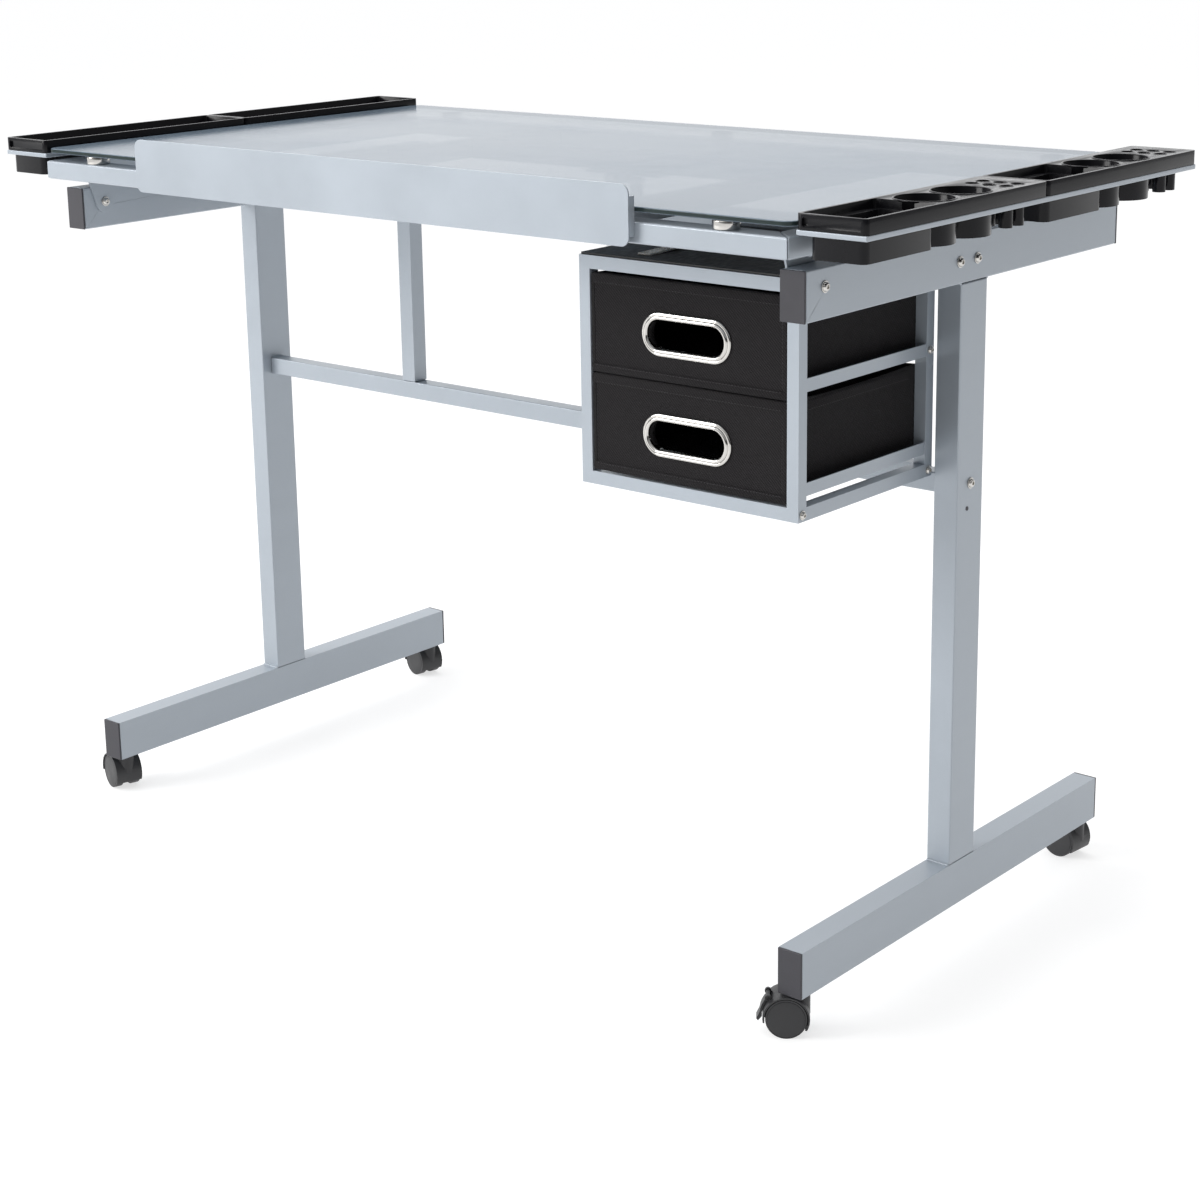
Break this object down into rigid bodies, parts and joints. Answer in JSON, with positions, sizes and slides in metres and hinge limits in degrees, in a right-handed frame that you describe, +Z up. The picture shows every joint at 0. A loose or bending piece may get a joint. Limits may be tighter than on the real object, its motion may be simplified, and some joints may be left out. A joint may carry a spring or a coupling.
{
  "type": "sewing table",
  "caption": "Craft and sewing table: a tilting glass top with side trays on a castored steel frame, with cloth drawers under one end.",
  "frame": {"origin": "on the floor, in the middle of the table's outline", "axes": "+X along the table's length to the drawers' side, +Y away from the person who sits at it, +Z up"},
  "size_m": [1.19, 0.6152, 0.8042],
  "materials": {
    "silver_paint": "smooth silver-grey powder coat",
    "black_plastic_caps": "fine-grained black moulding",
    "castor_plastic": "matt black nylon",
    "gloss_black": "glossy black moulding",
    "smoked_glass": "tempered glass, faintly blue",
    "black_board": "matt black board",
    "black_fabric": "woven black cloth over board, stitched hems",
    "chrome": "bright plated",
    "zinc_steel": "zinc-plated"
  },
  "bodies": {
    "frame": {"arm_cap_front_left": "black_plastic_caps", "arm_cap_front_right": "black_plastic_caps", "arm_cap_rear_left": "black_plastic_caps", "arm_cap_rear_right": "black_plastic_caps", "arm_left": "silver_paint", "arm_right": "silver_paint", "cabinet_cover": "black_board", "cabinet_frame": "silver_paint", "foot_cap_front_left": "black_plastic_caps", "foot_cap_front_right": "black_plastic_caps", "foot_cap_rear_left": "black_plastic_caps", "foot_cap_rear_right": "black_plastic_caps", "foot_left": "silver_paint", "foot_right": "silver_paint", "hinge_bolt_left": "chrome", "hinge_bolt_right": "chrome", "lower_bar": "silver_paint", "post_left": "silver_paint", "post_right": "silver_paint", "strut_left": "silver_paint", "strut_right": "silver_paint", "upper_bar": "silver_paint"},
    "top": {"glass_top": "smoked_glass", "inner_rail_left": "silver_paint", "inner_rail_right": "silver_paint", "middle_rail": "silver_paint", "top_rail_front": "silver_paint", "top_rail_rear": "silver_paint", "top_rail_left": "silver_paint", "top_rail_right": "silver_paint", "hinge_ear_left": "zinc_steel", "hinge_ear_right": "zinc_steel", "tray_ring_left": "silver_paint", "tray_ring_right": "silver_paint", "standoff_front_left": "chrome", "standoff_front_middle": "chrome", "standoff_front_right": "chrome", "standoff_rear_left": "chrome", "standoff_rear_middle": "chrome", "standoff_rear_right": "chrome"},
    "ledge": {"pencil_ledge": "silver_paint"},
    "prop": {"tilt_prop": "zinc_steel"},
    "tray_front_left": {"tray_front_left": "gloss_black"},
    "tray_front_right": {"tray_front_right": "gloss_black"},
    "tray_rear_left": {"tray_rear_left": "gloss_black"},
    "tray_rear_right": {"tray_rear_right": "gloss_black"},
    "drawer_lower": {"drawer_lower": "black_fabric", "drawer_grip_lower": "chrome"},
    "drawer_upper": {"drawer_upper": "black_fabric", "drawer_grip_upper": "chrome"},
    "castor_front_left": {"castor_housing_front_left": "castor_plastic"},
    "wheels_front_left": {"castor_wheels_front_left": "castor_plastic"},
    "castor_front_right": {"castor_housing_front_right": "castor_plastic"},
    "wheels_front_right": {"castor_wheels_front_right": "castor_plastic"},
    "castor_rear_left": {"castor_housing_rear_left": "castor_plastic"},
    "wheels_rear_left": {"castor_wheels_rear_left": "castor_plastic"},
    "castor_rear_right": {"castor_housing_rear_right": "castor_plastic"},
    "wheels_rear_right": {"castor_wheels_rear_right": "castor_plastic"},
    "brake_front_right": {"brake_lever_front_right": "castor_plastic"},
    "brake_rear_left": {"brake_lever_rear_left": "castor_plastic"}
  },
  "joints": [
    {"name": "tilt", "type": "hinge", "parent": "frame", "child": "top", "pos_m": [0, -0.2426, 0.719], "axis": [1, 0, 0], "range_deg": [0, 28]},
    {"name": "prop_swing", "type": "hinge", "parent": "top", "child": "prop", "pos_m": [0, 0.1054, 0.7415], "axis": [1, 0, 0], "range_deg": [-30.2, 0]},
    {"name": "ledge_height", "type": "slide", "parent": "top", "child": "ledge", "axis": [0, 0, 1], "range_m": [-0.035, 0]},
    {"name": "tray_lift_front_left", "type": "slide", "parent": "top", "child": "tray_front_left", "axis": [0, 0, 1], "range_m": [0, 0.06]},
    {"name": "tray_lift_front_right", "type": "slide", "parent": "top", "child": "tray_front_right", "axis": [0, 0, 1], "range_m": [0, 0.06]},
    {"name": "tray_lift_rear_left", "type": "slide", "parent": "top", "child": "tray_rear_left", "axis": [0, 0, 1], "range_m": [0, 0.06]},
    {"name": "tray_lift_rear_right", "type": "slide", "parent": "top", "child": "tray_rear_right", "axis": [0, 0, 1], "range_m": [0, 0.06]},
    {"name": "drawer_slide_lower", "type": "slide", "parent": "frame", "child": "drawer_lower", "axis": [0, -1, 0], "range_m": [0, 0.17]},
    {"name": "drawer_slide_upper", "type": "slide", "parent": "frame", "child": "drawer_upper", "axis": [0, -1, 0], "range_m": [0, 0.17]},
    {"name": "swivel_front_left", "type": "hinge", "parent": "frame", "child": "castor_front_left", "pos_m": [-0.503, -0.2546, 0.0435], "axis": [0, 0, 1], "continuous": true},
    {"name": "roll_front_left", "type": "hinge", "parent": "castor_front_left", "child": "wheels_front_left", "pos_m": [-0.51598, -0.25088, 0.02], "axis": [-0.2756, -0.9613, 0], "continuous": true},
    {"name": "swivel_front_right", "type": "hinge", "parent": "frame", "child": "castor_front_right", "pos_m": [0.503, -0.2546, 0.0435], "axis": [0, 0, 1], "continuous": true},
    {"name": "roll_front_right", "type": "hinge", "parent": "castor_front_right", "child": "wheels_front_right", "pos_m": [0.49208, -0.26254, 0.02], "axis": [0.5878, -0.809, 0], "continuous": true},
    {"name": "brake_front_right", "type": "hinge", "parent": "castor_front_right", "child": "brake_front_right", "pos_m": [0.47812, -0.27268, 0.0385], "axis": [-0.5878, 0.809, 0], "range_deg": [0, 22]},
    {"name": "swivel_rear_left", "type": "hinge", "parent": "frame", "child": "castor_rear_left", "pos_m": [-0.503, 0.2734, 0.0435], "axis": [0, 0, 1], "continuous": true},
    {"name": "roll_rear_left", "type": "hinge", "parent": "castor_rear_left", "child": "wheels_rear_left", "pos_m": [-0.5162, 0.27621, 0.02], "axis": [-0.2079, -0.9781, 0], "continuous": true},
    {"name": "brake_rear_left", "type": "hinge", "parent": "castor_rear_left", "child": "brake_rear_left", "pos_m": [-0.53308, 0.27979, 0.0385], "axis": [0.2079, 0.9781, 0], "range_deg": [0, 22]},
    {"name": "swivel_rear_right", "type": "hinge", "parent": "frame", "child": "castor_rear_right", "pos_m": [0.503, 0.2734, 0.0435], "axis": [0, 0, 1], "continuous": true},
    {"name": "roll_rear_right", "type": "hinge", "parent": "castor_rear_right", "child": "wheels_rear_right", "pos_m": [0.48957, 0.27481, 0.02], "axis": [-0.1045, -0.9945, 0], "continuous": true}
  ],
  "couplings": [
    {"joint": "prop_swing", "follows": "tilt", "ratio": -1.077}
  ]
}
